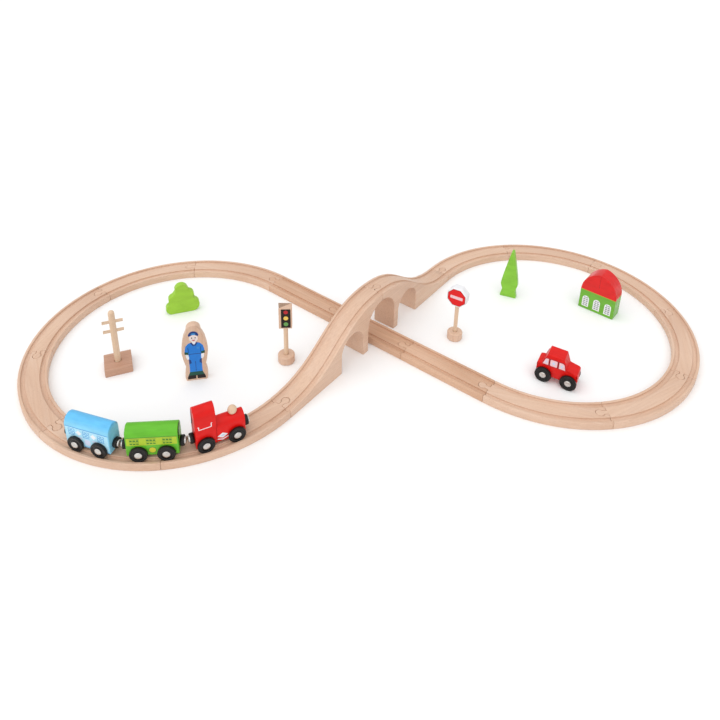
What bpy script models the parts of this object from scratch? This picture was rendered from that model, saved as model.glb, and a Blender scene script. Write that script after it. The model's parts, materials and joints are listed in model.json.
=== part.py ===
"""Wooden train set: a figure-of-eight track with an arched bridge, a locomotive with two wagons,
a car and loose trackside pieces.

Metres, +Z up. The origin is on the floor, under the point where the two lines cross. +X runs along the
figure of eight, and the bridge runs from lower left to upper right, over the lower line.
"""

import math

import bmesh
import bpy
from mathutils import Matrix, Vector

MM = 0.001
WELD = 0.001 * MM

# Track
TRACK_WIDTH = 40 * MM
TRACK_THICK = 12 * MM
GROOVE_WIDTH = 6.4 * MM
GROOVE_DEPTH = 3 * MM
GAUGE = 26 * MM  # between the middles of the two grooves
CURVE_RADIUS = 216 * MM  # centre line
CURVE_TURN = math.radians(45)
CURVES_PER_LOOP = 6
STRAIGHTS = 3
STRAIGHT_LENGTH = 2 * CURVE_RADIUS / STRAIGHTS
LOOP_CENTRE = CURVE_RADIUS * math.sqrt(2)  # distance of each loop's centre from the crossing
LINE_ANGLE = math.radians(45)  # both straight lines cross the X axis at this angle
SEAM = 0.4 * MM  # between the end faces of two track pieces
CURVE_STEPS = 12

# Jigsaw joints
PEG_NECK = 6 * MM
PEG_HEAD_RADIUS = 6 * MM
PEG_REACH = 11 * MM  # from the end face to the middle of the head
PEG_PLAY = 0.4 * MM
PEG_STEPS = 10

# Bridge
BRIDGE_HALF = CURVE_RADIUS
BRIDGE_TOP = 90 * MM
BRIDGE_STEPS = 16
BRIDGE_FULLNESS = 0.035  # widens the crown and steepens the ramps
MAIN_ARCH_RADIUS = 35.5 * MM
MAIN_ARCH_TOP = 77.5 * MM
SIDE_ARCH_RADIUS = 27 * MM
SIDE_ARCH_TOP = 57.5 * MM
SIDE_ARCH_OFFSET = 75 * MM
ARCH_STEPS = 16

# Train
BODY_WIDTH = 21.6 * MM
BODY_LENGTH = 66 * MM
BODY_BOTTOM = 17 * MM
WAGON_EAVE = 47 * MM
WAGON_RIDGE = 58.5 * MM
BOILER_WIDTH = 20.8 * MM
BOILER_EAVE = 38 * MM
BOILER_RIDGE = 48.5 * MM
CAB_LENGTH = 27.5 * MM
CAB_EAVE = 61 * MM
CAB_RIDGE = 76 * MM
WHEEL_RADIUS = 11.6 * MM
WHEEL_WIDTH = 4 * MM
WHEEL_LIFT = 0.3 * MM  # above the groove's floor
AXLE_HEIGHT = TRACK_THICK - GROOVE_DEPTH + WHEEL_LIFT + WHEEL_RADIUS
AXLE_RADIUS = 1.5 * MM
BORE_PLAY = 0.4 * MM
WHEEL_INNER = 11.1 * MM  # inner face of a train wheel, from the middle of the track
HUB_RADIUS = 4.8 * MM
HUB_THICK = 1.4 * MM
WAGON_WHEELBASE = 35 * MM
LOCO_WHEELBASE = 41.2 * MM
COUPLER_HEIGHT = 28 * MM
CUP_RADIUS = 7 * MM
CUP_LENGTH = 5.5 * MM
MAGNET_RADIUS = 4.6 * MM
MAGNET_LENGTH = 2 * MM
SCREW_RADIUS = 1.3 * MM
SCREW_LENGTH = 9 * MM
FUNNEL_OFFSET = 19 * MM
FUNNEL_RADIUS = 6.2 * MM
FUNNEL_DOWEL = 2.2 * MM
GAP = 0.3 * MM  # between touching pieces
WHEEL_STEPS = 22
SMALL_STEPS = 14
LOCO_ANGLE = math.radians(-70.4)  # places on the left loop
GREEN_ANGLE = math.radians(-92.4)
BLUE_ANGLE = math.radians(-114.3)

# Car
CAR_PLACE = (266.5 * MM, -133 * MM)
CAR_HEADING = math.radians(-36.7)
CAR_WIDTH = 24 * MM
CAR_LENGTH = 61 * MM
CAR_BOTTOM = 10 * MM
CAR_WAIST = 31 * MM
CAR_ROOF = 49 * MM
CAR_WHEELBASE = 37.4 * MM
CAR_WHEEL_RADIUS = 12.4 * MM
CAR_WHEEL_WIDTH = 4.6 * MM

# Trackside pieces: place, turn about Z
TELEGRAPH = ((-396.5 * MM, -35 * MM), math.radians(14.2))
BUSH = ((-315 * MM, 96.5 * MM), math.radians(12.3))
MAN = ((-275.5 * MM, -71 * MM), math.radians(4))
TRAFFIC_LIGHT = ((-141 * MM, -48 * MM), math.radians(-4))
STOP_SIGN = ((135.8 * MM, -22 * MM), math.radians(-38))
TREE = ((265 * MM, 84 * MM), math.radians(-30))
HOUSE = ((411 * MM, 27.3 * MM), math.radians(-47.7))

POST_BASE_HEIGHT = 14 * MM
SOCKET_DEPTH = 8 * MM

BEECH = ("beech", (0.76, 0.55, 0.40), 0.55, 0.0)
BEECH_DARK = ("beech_dark", (0.68, 0.42, 0.29), 0.55, 0.0)
RED = ("red_paint", (0.78, 0.02, 0.02), 0.35, 0.0)
GREEN = ("green_paint", (0.25, 0.55, 0.06), 0.4, 0.0)
BLUE = ("blue_paint", (0.22, 0.60, 0.90), 0.4, 0.0)
BLACK = ("black_plastic", (0.02, 0.02, 0.02), 0.35, 0.0)
STEEL = ("steel", (0.75, 0.74, 0.72), 0.3, 1.0)
WHITE = ("white_paint", (0.85, 0.85, 0.86), 0.45, 0.0)


# ---- Building helpers ----

def clear_scene():
    for thing in list(bpy.data.objects):
        bpy.data.objects.remove(thing)


def material(look):
    name, colour, roughness, metallic = look
    made = bpy.data.materials.get(name)
    if made is None:
        made = bpy.data.materials.new(name)
        made.use_nodes = True
        shader = made.node_tree.nodes["Principled BSDF"]
        shader.inputs["Base Color"].default_value = (*colour, 1)
        shader.inputs["Roughness"].default_value = roughness
        shader.inputs["Metallic"].default_value = metallic
    return made


def solid(name, mesh, look=None):
    """A new object from a closed bmesh."""
    bmesh.ops.recalc_face_normals(mesh, faces=mesh.faces)
    data = bpy.data.meshes.new(name)
    mesh.to_mesh(data)
    mesh.free()
    made = bpy.data.objects.new(name, data)
    bpy.context.scene.collection.objects.link(made)
    if look:
        data.materials.append(material(look))
    return made


def loft(name, rings, look=None):
    """A solid through equal rings of points, capped at both ends."""
    mesh = bmesh.new()
    loops = [[mesh.verts.new(p) for p in ring] for ring in rings]
    count = len(rings[0])
    for near, far in zip(loops, loops[1:]):
        for i in range(count):
            j = (i + 1) % count
            mesh.faces.new((near[i], near[j], far[j], far[i]))
    mesh.faces.new(reversed(loops[0]))
    mesh.faces.new(loops[-1])
    bmesh.ops.remove_doubles(mesh, verts=mesh.verts, dist=WELD)
    return solid(name, mesh, look)


def prism(name, outline, low, high, axis="Z", look=None):
    """An outline pushed along an axis, from low to high. Its points are (x, y), (x, z) or (y, z)."""
    place = {
        "Z": lambda p, h: (p[0], p[1], h),
        "Y": lambda p, h: (p[0], h, p[1]),
        "X": lambda p, h: (h, p[0], p[1]),
    }[axis]
    return loft(name, [[place(p, h) for p in outline] for h in (low, high)], look)


def turned(name, profile, steps=28, look=None):
    """A solid turned about Z, from (radius, height) points. A profile that starts and ends at radius 0 is
    a plain solid, and one that doesn't is a ring."""
    mesh = bmesh.new()
    loops = []
    for radius, height in profile:
        if radius == 0:
            loops.append([mesh.verts.new((0, 0, height))] * steps)
            continue
        turns = [2 * math.pi * k / steps for k in range(steps)]
        loops.append([mesh.verts.new((radius * math.cos(t), radius * math.sin(t), height)) for t in turns])
    pairs = list(zip(loops, loops[1:]))
    if profile[0][0] > 0:
        pairs.append((loops[-1], loops[0]))
    for near, far in pairs:
        for i in range(steps):
            j = (i + 1) % steps
            corners = list(dict.fromkeys((near[i], near[j], far[j], far[i])))
            mesh.faces.new(corners)
    return solid(name, mesh, look)


def combine(target, tool, operation):
    """Joins, cuts or intersects target with tool, and drops tool."""
    change = target.modifiers.new("shape", "BOOLEAN")
    change.operation = operation
    change.solver = "EXACT"
    change.object = tool
    bpy.context.view_layer.update()
    shaped = target.evaluated_get(bpy.context.evaluated_depsgraph_get())
    data = bpy.data.meshes.new_from_object(shaped)
    target.modifiers.clear()
    target.data = data
    bpy.data.objects.remove(tool)
    return target


def shift(thing, matrix):
    """Moves an object's mesh, and leaves its origin."""
    thing.data.transform(matrix)
    return thing


def place(thing, spot, heading=0.0, parent=None):
    """Sets an object's origin, turned about Z, under an optional parent empty."""
    spot = Vector(spot)
    if parent:
        thing.parent = parent
        spot = spot - parent.location
    thing.location = spot
    thing.rotation_euler = (0, 0, heading)
    return thing


def pivot(name, spot):
    """An empty on a joint's axis."""
    made = bpy.data.objects.new(name, None)
    made.location = spot
    bpy.context.scene.collection.objects.link(made)
    return made


def arc(centre, radius, start, end, steps, squash=1.0):
    """Points on an arc, angles in degrees."""
    points = []
    for k in range(steps + 1):
        t = math.radians(start + (end - start) * k / steps)
        points.append((centre[0] + radius * math.cos(t), centre[1] + radius * squash * math.sin(t)))
    return points


def round_edges(thing):
    """Smooth shading on round pieces, with their hard edges kept."""
    thing.data.shade_smooth()
    thing.data.set_sharp_from_angle(angle=math.radians(35))
    return thing


def bore(thing, spot, direction, radius, depth, steps=12):
    """Cuts a round hole that starts at spot and goes along direction."""
    tool = turned("tool", [(0, 0), (radius, 0), (radius, depth), (0, depth)], steps)
    turn = Vector((0, 0, 1)).rotation_difference(Vector(direction)).to_matrix().to_4x4()
    shift(tool, Matrix.Translation(spot) @ turn)
    return combine(thing, tool, "DIFFERENCE")


# ---- Track ----

def track_profile(top):
    """(across, height) points of the track's section, with its two grooves cut from the top."""
    half = TRACK_WIDTH / 2
    inner = GAUGE / 2 - GROOVE_WIDTH / 2
    outer = GAUGE / 2 + GROOVE_WIDTH / 2
    floor = top - GROOVE_DEPTH
    left = [(-half, 0), (-half, top), (-outer, top), (-outer, floor), (-inner, floor), (-inner, top)]
    return left + [(-across, height) for across, height in reversed(left)]


def section(x, y, heading, top):
    """The track's section at a point of its line, square to its heading."""
    side = (-math.sin(heading), math.cos(heading))
    return [(x + a * side[0], y + a * side[1], z) for a, z in track_profile(top)]


def peg_outline(play):
    """The jigsaw peg, seen from above: it points along -X from an end face at X = 0."""
    neck = PEG_NECK / 2 + play
    head = PEG_HEAD_RADIUS + play
    spread = math.degrees(math.asin(neck / head))
    round_head = arc((-PEG_REACH, 0), head, spread, 360 - spread, PEG_STEPS)
    root = 2 * MM
    return [(root, neck), *round_head, (root, -neck)]


def at_seam(thing, x, y, heading):
    turn = Matrix.Rotation(heading, 4, "Z")
    return shift(thing, Matrix.Translation((x, y, 0)) @ turn)


def add_peg(piece, x, y, heading):
    """A peg on the piece's first end, which reaches back into the piece before it."""
    peg = prism("peg", peg_outline(0), 0, TRACK_THICK)
    return combine(piece, at_seam(peg, x, y, heading), "UNION")


def cut_socket(piece, x, y, heading):
    """The socket in the piece's last end, for the next piece's peg."""
    tool = prism("tool", peg_outline(PEG_PLAY), -TRACK_THICK, 3 * TRACK_THICK)
    return combine(piece, at_seam(tool, x, y, heading), "DIFFERENCE")


def curve_piece(name, way):
    """A 45 degree curve that starts at the origin along +X, and turns left (way 1) or right (way -1)."""
    def point(turn):
        return CURVE_RADIUS * math.sin(turn), way * CURVE_RADIUS * (1 - math.cos(turn)), way * turn

    trim = SEAM / 2 / CURVE_RADIUS
    span = CURVE_TURN - 2 * trim
    turns = [trim + span * k / CURVE_STEPS for k in range(CURVE_STEPS + 1)]
    piece = loft(name, [section(*point(t), TRACK_THICK) for t in turns], BEECH)
    cut_socket(piece, *point(CURVE_TURN))
    return add_peg(piece, 0, 0, 0)


def loop_pieces(side, centre_x, start, way):
    """One loop's curves, from its start angle round the loop's centre."""
    for k in range(CURVES_PER_LOOP):
        angle = start + way * k * CURVE_TURN
        spot = (centre_x + CURVE_RADIUS * math.cos(angle), CURVE_RADIUS * math.sin(angle), 0)
        place(curve_piece(f"track_curve_{side}_{k + 1}", way), spot, angle + way * math.pi / 2)


def straight_pieces():
    """The lower line: three straights from upper left to lower right, through the main arch."""
    heading = -LINE_ANGLE
    for k in range(STRAIGHTS):
        ends = (SEAM / 2, STRAIGHT_LENGTH - SEAM / 2)
        piece = loft(f"track_straight_{k + 1}", [section(x, 0, 0, TRACK_THICK) for x in ends], BEECH)
        cut_socket(piece, STRAIGHT_LENGTH, 0, 0)
        add_peg(piece, 0, 0, 0)
        along = STRAIGHT_LENGTH * (k - STRAIGHTS / 2)
        place(piece, (along * math.cos(heading), along * math.sin(heading), 0), heading)


def deck_height(along):
    """The bridge's top at a distance from its crown: a smooth hump that lands level with the track."""
    share = abs(along) / BRIDGE_HALF
    share -= BRIDGE_FULLNESS * math.sin(2 * math.pi * share)
    return TRACK_THICK + (BRIDGE_TOP - TRACK_THICK) * (1 + math.cos(math.pi * share)) / 2


def bridge_outline(drop):
    """(x, z) of the bridge's side: flat feet, three arches and the deck, lowered by drop."""
    reach = BRIDGE_HALF - SEAM / 2
    points = [(-reach, 0)]
    side, main = (SIDE_ARCH_RADIUS, SIDE_ARCH_TOP), (MAIN_ARCH_RADIUS, MAIN_ARCH_TOP)
    for offset, (radius, top) in ((-SIDE_ARCH_OFFSET, side), (0, main), (SIDE_ARCH_OFFSET, side)):
        points.append((offset - radius, 0))
        points += arc((offset, top - radius), radius, 180, 0, ARCH_STEPS)
        points.append((offset + radius, 0))
    floor = deck_height(reach) - GROOVE_DEPTH
    points += [(reach, 0), (reach, floor)]
    for k in range(2 * BRIDGE_STEPS + 1):
        along = reach - reach * k / BRIDGE_STEPS
        points.append((along, deck_height(along) - drop))
    points.append((-reach, floor))
    return points


def bridge_body(name):
    """The whole bridge along X: its side outline carried across, and lowered where the grooves run."""
    rings = []
    for across, height in track_profile(TRACK_THICK)[1:-1]:
        outline = bridge_outline(TRACK_THICK - height)
        rings.append([(x, across, z) for x, z in outline])
    return loft(name, rings, BEECH)


def bridge_half(name, has_peg):
    """One half of the bridge along X: the half at -X holds the crown's peg, the other its socket."""
    reach, wide = 2 * BRIDGE_HALF, TRACK_WIDTH
    if has_peg:
        crown = [(-x, y) for x, y in peg_outline(0)]
        face = -SEAM / 2
        outline = [(-reach, -wide), (face, -wide), *[(max(x, face), y) for x, y in reversed(crown)]]
        outline += [(face, wide), (-reach, wide)]
    else:
        crown = [(-x, y) for x, y in peg_outline(PEG_PLAY)]
        face = SEAM / 2
        outline = [(reach, wide), (face, wide), *[(max(x, face), y) for x, y in crown]]
        outline += [(face, -wide), (reach, -wide)]
    keep = prism("keep", outline, -BRIDGE_TOP, 2 * BRIDGE_TOP)
    return combine(bridge_body(name), keep, "INTERSECT")


def bridge():
    """Both halves, built along X and turned to the upper line. They run from right to left."""
    left = bridge_half("bridge_half_left", True)
    cut_socket(left, -BRIDGE_HALF, 0, math.pi)
    right = bridge_half("bridge_half_right", False)
    add_peg(right, BRIDGE_HALF, 0, math.pi)
    for piece in (left, right):
        place(piece, (0, 0, 0), LINE_ANGLE)


def track():
    loop_pieces("left", -LOOP_CENTRE, -LINE_ANGLE, -1)
    straight_pieces()
    loop_pieces("right", LOOP_CENTRE, LINE_ANGLE - math.pi, 1)
    bridge()


# ---- Rolling stock ----

def arched_block(name, width, bottom, eave, ridge, rear, front, look):
    """A block along X with upright sides and an arched top."""
    half = width / 2
    roof = arc((0, eave), half, 0, 180, 12, (ridge - eave) / half)
    return prism(name, [(-half, bottom), (half, bottom), *roof], rear, front, "X", look)


def coupler(name, way):
    """Magnet coupler: a black cup on a screw, with a steel-faced magnet. It points along +X or -X."""
    end = GAP + CUP_LENGTH + MAGNET_LENGTH
    profile = [
        (0, -SCREW_LENGTH), (SCREW_RADIUS, -SCREW_LENGTH), (SCREW_RADIUS, GAP), (CUP_RADIUS, GAP),
        (CUP_RADIUS, end - MAGNET_LENGTH), (MAGNET_RADIUS, end - MAGNET_LENGTH), (MAGNET_RADIUS, end), (0, end),
    ]
    piece = turned(name, profile, SMALL_STEPS, BLACK)
    shift(piece, Matrix.Rotation(way * math.pi / 2, 4, "Y"))
    shift(piece, Matrix.Translation((way * BODY_LENGTH / 2, 0, COUPLER_HEIGHT)))
    return round_edges(piece)


def axle(name):
    """A steel axle along Y with a domed hub cap at each end, outside the wheels."""
    face = WHEEL_INNER + WHEEL_WIDTH + GAP
    half = [(AXLE_RADIUS, face), (HUB_RADIUS, face), (HUB_RADIUS * 0.7, face + HUB_THICK), (0, face + HUB_THICK)]
    profile = [(r, -h) for r, h in reversed(half)] + half
    piece = turned(name, profile, 10, STEEL)
    shift(piece, Matrix.Rotation(-math.pi / 2, 4, "X"))
    return round_edges(piece)


def wheel(name, side):
    """A black wheel about Y, on its axle with a little play. side is 1 on the left and -1 on the right."""
    hole = AXLE_RADIUS + BORE_PLAY
    bevel = 0.8 * MM
    outer = WHEEL_INNER + WHEEL_WIDTH
    profile = [(hole, WHEEL_INNER), (WHEEL_RADIUS, WHEEL_INNER), (WHEEL_RADIUS, outer - bevel),
               (WHEEL_RADIUS - bevel, outer), (hole, outer)]
    piece = turned(name, profile, WHEEL_STEPS, BLACK)
    shift(piece, Matrix.Rotation(-side * math.pi / 2, 4, "X"))
    return round_edges(piece)


def axle_holes(body, wheelbase, height, width):
    for end in (-1, 1):
        start = (end * wheelbase / 2, -width, height)
        bore(body, start, (0, 1, 0), AXLE_RADIUS + BORE_PLAY, 2 * width)


def coupler_holes(body):
    for end in (-1, 1):
        start = (end * (BODY_LENGTH / 2 + MM), 0, COUPLER_HEIGHT)
        bore(body, start, (-end, 0, 0), SCREW_RADIUS + BORE_PLAY, SCREW_LENGTH + 2 * MM)


def vehicle(name, body, extras, wheelbase, angle):
    """Puts a vehicle on the left loop with both axles on the track's centre line."""
    heading = angle + math.pi / 2
    reach = math.sqrt(CURVE_RADIUS ** 2 - (wheelbase / 2) ** 2)
    run = pivot(f"{name}_run", (-LOOP_CENTRE, 0, 0))
    centre = Vector((reach * math.cos(angle) - LOOP_CENTRE, reach * math.sin(angle), 0))
    ahead = Vector((math.cos(heading), math.sin(heading), 0))
    axle_holes(body, wheelbase, AXLE_HEIGHT, BODY_WIDTH)
    coupler_holes(body)
    couplers = [coupler(f"{name}_coupler_front", 1), coupler(f"{name}_coupler_rear", -1)]
    for piece in (body, *couplers, *extras):
        place(piece, centre, heading, run)
    for end, side_name in ((1, "front"), (-1, "rear")):
        spot = centre + ahead * (end * wheelbase / 2) + Vector((0, 0, AXLE_HEIGHT))
        place(axle(f"{name}_axle_{side_name}"), spot, heading, run)
        place(wheel(f"{name}_wheel_{side_name}_left", 1), spot, heading, run)
        place(wheel(f"{name}_wheel_{side_name}_right", -1), spot, heading, run)


def wagon(name, look, angle):
    half = BODY_LENGTH / 2
    body = arched_block(f"{name}_body", BODY_WIDTH, BODY_BOTTOM, WAGON_EAVE, WAGON_RIDGE, -half, half, look)
    vehicle(name, body, [], WAGON_WHEELBASE, angle)


def funnel():
    """A turned ball on a dowel that sits in the boiler."""
    ball = BOILER_RIDGE + FUNNEL_RADIUS * 0.72
    seat = BOILER_RIDGE + GAP
    low = -math.degrees(math.acos(FUNNEL_DOWEL / FUNNEL_RADIUS))
    cut = -math.degrees(math.asin((ball - seat) / FUNNEL_RADIUS))
    curve = arc((0, ball), FUNNEL_RADIUS, max(low, cut), 90, 9)[:-1]
    foot = BOILER_RIDGE - 9 * MM
    profile = [(0, foot), (FUNNEL_DOWEL, foot), (FUNNEL_DOWEL, seat), *curve, (0, ball + FUNNEL_RADIUS)]
    piece = turned("loco_funnel", profile, SMALL_STEPS, BEECH)
    return round_edges(shift(piece, Matrix.Translation((FUNNEL_OFFSET, 0, 0))))


def loco():
    half = BODY_LENGTH / 2
    cab_front = -half + CAB_LENGTH
    body = arched_block("loco_body", BODY_WIDTH, BODY_BOTTOM, CAB_EAVE, CAB_RIDGE, -half, cab_front, RED)
    boiler = arched_block("boiler", BOILER_WIDTH, BODY_BOTTOM + 0.2 * MM, BOILER_EAVE, BOILER_RIDGE,
                          cab_front - 3 * MM, half, RED)
    combine(body, boiler, "UNION")
    bore(body, (FUNNEL_OFFSET, 0, BOILER_RIDGE + MM), (0, 0, -1), FUNNEL_DOWEL + BORE_PLAY, 11 * MM)
    vehicle("loco", body, [funnel()], LOCO_WHEELBASE, LOCO_ANGLE)


def train():
    loco()
    wagon("green_wagon", GREEN, GREEN_ANGLE)
    wagon("blue_wagon", BLUE, BLUE_ANGLE)


def car_outline():
    """(x, z) of the car's side: boot, cabin and sloping bonnet."""
    half = CAR_LENGTH / 2
    nose = 4 * MM
    rear = arc((-half + nose, CAR_WAIST - nose), nose, 180, 90, 3)
    cabin = [(-22.5 * MM, CAR_WAIST + 0.5 * MM), (-16 * MM, CAR_ROOF), (8.5 * MM, CAR_ROOF - 0.5 * MM),
             (14.5 * MM, CAR_WAIST + 1 * MM)]
    front = arc((half - nose, CAR_WAIST - 1.5 * MM - nose), nose, 90, 0, 3)
    return [(-half, CAR_BOTTOM), *rear, *cabin, *front, (half, CAR_BOTTOM)]


def car_wheelset(name):
    """Axle, two wheels and hub caps in one turned piece about Y."""
    inner = CAR_WIDTH / 2 + GAP + 0.2 * MM
    outer = inner + CAR_WHEEL_WIDTH
    bevel = 0.8 * MM
    half = [(AXLE_RADIUS, inner), (CAR_WHEEL_RADIUS, inner), (CAR_WHEEL_RADIUS, outer - bevel),
            (CAR_WHEEL_RADIUS - bevel, outer), (HUB_RADIUS, outer), (HUB_RADIUS * 0.8, outer + HUB_THICK),
            (0, outer + HUB_THICK)]
    piece = turned(name, [(r, -h) for r, h in reversed(half)] + half, WHEEL_STEPS, BLACK)
    return round_edges(shift(piece, Matrix.Rotation(-math.pi / 2, 4, "X")))


def car():
    half = CAR_WIDTH / 2
    body = prism("car_body", car_outline(), -half, half, "Y", RED)
    axle_holes(body, CAR_WHEELBASE, CAR_WHEEL_RADIUS, CAR_WIDTH)
    place(body, (*CAR_PLACE, 0), CAR_HEADING)
    ahead = Vector((math.cos(CAR_HEADING), math.sin(CAR_HEADING), 0))
    for end, side_name in ((1, "front"), (-1, "rear")):
        spot = Vector((*CAR_PLACE, CAR_WHEEL_RADIUS)) + ahead * (end * CAR_WHEELBASE / 2)
        place(car_wheelset(f"car_wheels_{side_name}"), spot, CAR_HEADING)


# ---- Trackside pieces ----

def post_base(name, radius):
    """A round foot with a softened rim and a blind socket for its post."""
    soft = 1.5 * MM
    top = POST_BASE_HEIGHT
    profile = [(0, 0), (radius - soft, 0), (radius, soft), (radius, top - soft), (radius - soft, top), (0, top)]
    return round_edges(turned(name, profile, WHEEL_STEPS, BEECH))


def post(name, radius, top):
    """A round post whose ends sit in blind sockets of the foot and of the head."""
    low = POST_BASE_HEIGHT - SOCKET_DEPTH + GAP
    high = top + SOCKET_DEPTH - GAP
    return round_edges(turned(name, [(0, low), (radius, low), (radius, high), (0, high)], 16, BEECH))


def traffic_light():
    spot, heading = TRAFFIC_LIGHT
    radius, low, high = 3.5 * MM, 66 * MM, 103.5 * MM
    wide, deep = 10 * MM, 6.5 * MM
    foot = post_base("traffic_light_base", 13.2 * MM)
    bore(foot, (0, 0, POST_BASE_HEIGHT + MM), (0, 0, -1), radius + BORE_PLAY, SOCKET_DEPTH + MM, 16)
    outline = [(-wide, -deep), (wide, -deep), (wide, deep), (-wide, deep)]
    head = prism("traffic_light_head", outline, low, high, look=BEECH)
    bore(head, (0, 0, low - MM), (0, 0, 1), radius + BORE_PLAY, SOCKET_DEPTH + MM, 16)
    for piece in (foot, post("traffic_light_post", radius, low), head):
        place(piece, (*spot, 0), heading)


def stop_sign():
    """An octagonal plate on a post. The plate's face looks along -Y of its own frame."""
    spot, heading = STOP_SIGN
    radius, middle, across, deep = 3.2 * MM, 83 * MM, 33 * MM, 14 * MM
    low = middle - across / 2
    foot = post_base("stop_sign_base", 12.4 * MM)
    bore(foot, (0, 0, POST_BASE_HEIGHT + MM), (0, 0, -1), radius + BORE_PLAY, SOCKET_DEPTH + MM, 16)
    corner = across / 2 / math.cos(math.pi / 8)
    outline = arc((0, middle), corner, 22.5, 337.5, 7)
    plate = prism("stop_sign_plate", outline, -deep / 2, deep / 2, "Y", WHITE)
    bore(plate, (0, 0, low - MM), (0, 0, 1), radius + BORE_PLAY, SOCKET_DEPTH + MM, 16)
    for piece in (foot, post("stop_sign_post", radius, low), plate):
        place(piece, (*spot, 0), heading)


def telegraph_pole():
    spot, heading = TELEGRAPH
    wide, deep, tall = 40 * MM, 38 * MM, 13 * MM
    radius, top = 4.7 * MM, 104 * MM
    bars, bar_half, bar_thick = (68 * MM, 84.5 * MM), 15 * MM, 3.6 * MM
    outline = [(-wide / 2, -deep / 2), (wide / 2, -deep / 2), (wide / 2, deep / 2), (-wide / 2, deep / 2)]
    foot = prism("telegraph_base", outline, 0, tall, look=BEECH_DARK)
    bore(foot, (0, 0, tall + MM), (0, 0, -1), radius + BORE_PLAY, SOCKET_DEPTH + MM, 16)
    low = tall - SOCKET_DEPTH + GAP
    dome = arc((0, top - radius), radius, 0, 90, 4)[:-1]
    pole = turned("telegraph_pole", [(0, low), (radius, low), *dome, (0, top)], 16, BEECH)
    for height in bars:
        half = bar_thick / 2
        cross = [(-half, height - half), (half, height - half), (half, height + half), (-half, height + half)]
        combine(pole, prism("bar", cross, -bar_half, bar_half, "X"), "UNION")
    for piece in (foot, pole):
        place(piece, (*spot, 0), heading)


def flat_block(name, outline, thick, spot, heading, look):
    """A silhouette sawn from board, standing on its lower edge."""
    return place(prism(name, outline, -thick / 2, thick / 2, "Y", look), (*spot, 0), heading)


def bush():
    lobes = [
        ((-18, 10), 10, 260, 100), ((-13, 27), 9.5, 220, 105), ((0, 45), 11, 195, 20),
        ((11, 33), 9.5, 80, -30), ((16, 12.5), 12.5, 60, -85),
    ]
    outline = []
    for (x, z), radius, start, end in lobes:
        outline += arc((x * MM, z * MM), radius * MM, start, end, 7)
    outline = [(x, 0.0 if z < 0.3 * MM else z) for x, z in outline]
    flat_block("bush", outline, 11 * MM, *BUSH, GREEN)


def tree():
    """A slim conifer: a skirt, a notch and a long tapering crown."""
    high, crown, waist, foot, full = 93 * MM, 26 * MM, 15 * MM, 14.5 * MM, 15 * MM
    right = [(foot, 0), (foot * 0.93, waist * 0.4), (foot * 0.8, waist)]
    for k in range(11):
        share = k / 10
        right.append((full * (0.13 + 0.87 * (1 - share ** 1.2)), crown + (high - crown) * share))
    outline = right + [(-x, z) for x, z in reversed(right)]
    flat_block("tree", outline, 12 * MM, *TREE, GREEN)


def man():
    """The flat block of a standing figure: feet, narrow ankles, arms, shoulders and a round head."""
    knots = [(0, 15), (7.5, 16.5), (15, 16), (25, 14), (38, 17), (50.5, 19), (63, 18), (75.5, 15.5), (84, 12.5)]
    head_radius, head_middle = 10.5, 89
    right = []
    for (z0, w0), (z1, w1) in zip(knots, knots[1:]):
        for k in range(2):
            ease = (1 - math.cos(math.pi * k / 2)) / 2
            right.append(((w0 + (w1 - w0) * ease) * MM, (z0 + (z1 - z0) * k / 2) * MM))
    right += arc((0, head_middle * MM), head_radius * MM, -5, 80, 6)
    outline = right + [(-x, z) for x, z in reversed(right)]
    flat_block("man", outline, 11 * MM, *MAN, BEECH)


def house():
    """A block with a pointed round roof: each half is between a quarter ellipse and a pointed arch."""
    half, eave, ridge, thick = 31 * MM, 38 * MM, 76 * MM, 28 * MM
    rise = ridge - eave
    offset = (rise ** 2 - half ** 2) / (2 * half)
    right = []
    for k in range(12):
        x = half * (1 - (k / 12) ** 1.3)
        full = rise * math.sqrt(1 - (x / half) ** 2)
        pointed = math.sqrt((half + offset) ** 2 - (x + offset) ** 2)
        right.append((x, eave + (full + pointed) / 2))
    left = [(-x, z) for x, z in reversed(right)]
    outline = [(-half, 0), (half, 0), *right, (0, ridge), *left]
    flat_block("house", outline, thick, *HOUSE, GREEN)


def main():
    clear_scene()
    track()
    train()
    car()
    telegraph_pole()
    traffic_light()
    stop_sign()
    bush()
    tree()
    man()
    house()
    bpy.context.view_layer.update()


main()
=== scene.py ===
"""Looks of the wooden train set: softened wood and paint, turned wheels, prints, light and camera."""

import json
import math

import bmesh
import bpy
from mathutils import Matrix, Vector


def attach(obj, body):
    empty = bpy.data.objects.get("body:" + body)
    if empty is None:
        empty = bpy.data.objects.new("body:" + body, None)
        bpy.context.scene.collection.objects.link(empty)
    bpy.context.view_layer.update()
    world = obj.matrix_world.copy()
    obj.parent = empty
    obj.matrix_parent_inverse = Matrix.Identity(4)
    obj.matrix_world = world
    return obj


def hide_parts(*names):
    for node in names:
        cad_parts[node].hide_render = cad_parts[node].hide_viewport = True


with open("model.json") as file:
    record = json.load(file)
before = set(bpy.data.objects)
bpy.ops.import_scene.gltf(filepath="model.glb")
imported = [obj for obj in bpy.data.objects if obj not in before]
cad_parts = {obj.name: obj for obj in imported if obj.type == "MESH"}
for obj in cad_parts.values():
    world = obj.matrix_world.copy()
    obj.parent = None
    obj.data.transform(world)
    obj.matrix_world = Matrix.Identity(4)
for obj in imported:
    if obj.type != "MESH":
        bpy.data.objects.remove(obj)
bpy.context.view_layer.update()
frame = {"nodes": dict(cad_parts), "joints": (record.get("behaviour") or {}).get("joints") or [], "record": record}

MM = 0.001
RECORD = frame["record"]
JOINTS = {joint["child"]: joint for joint in frame["joints"]}
BODY_OF = {node: body for body, nodes in RECORD["behaviour"]["bodies"].items() for node in nodes}

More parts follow.
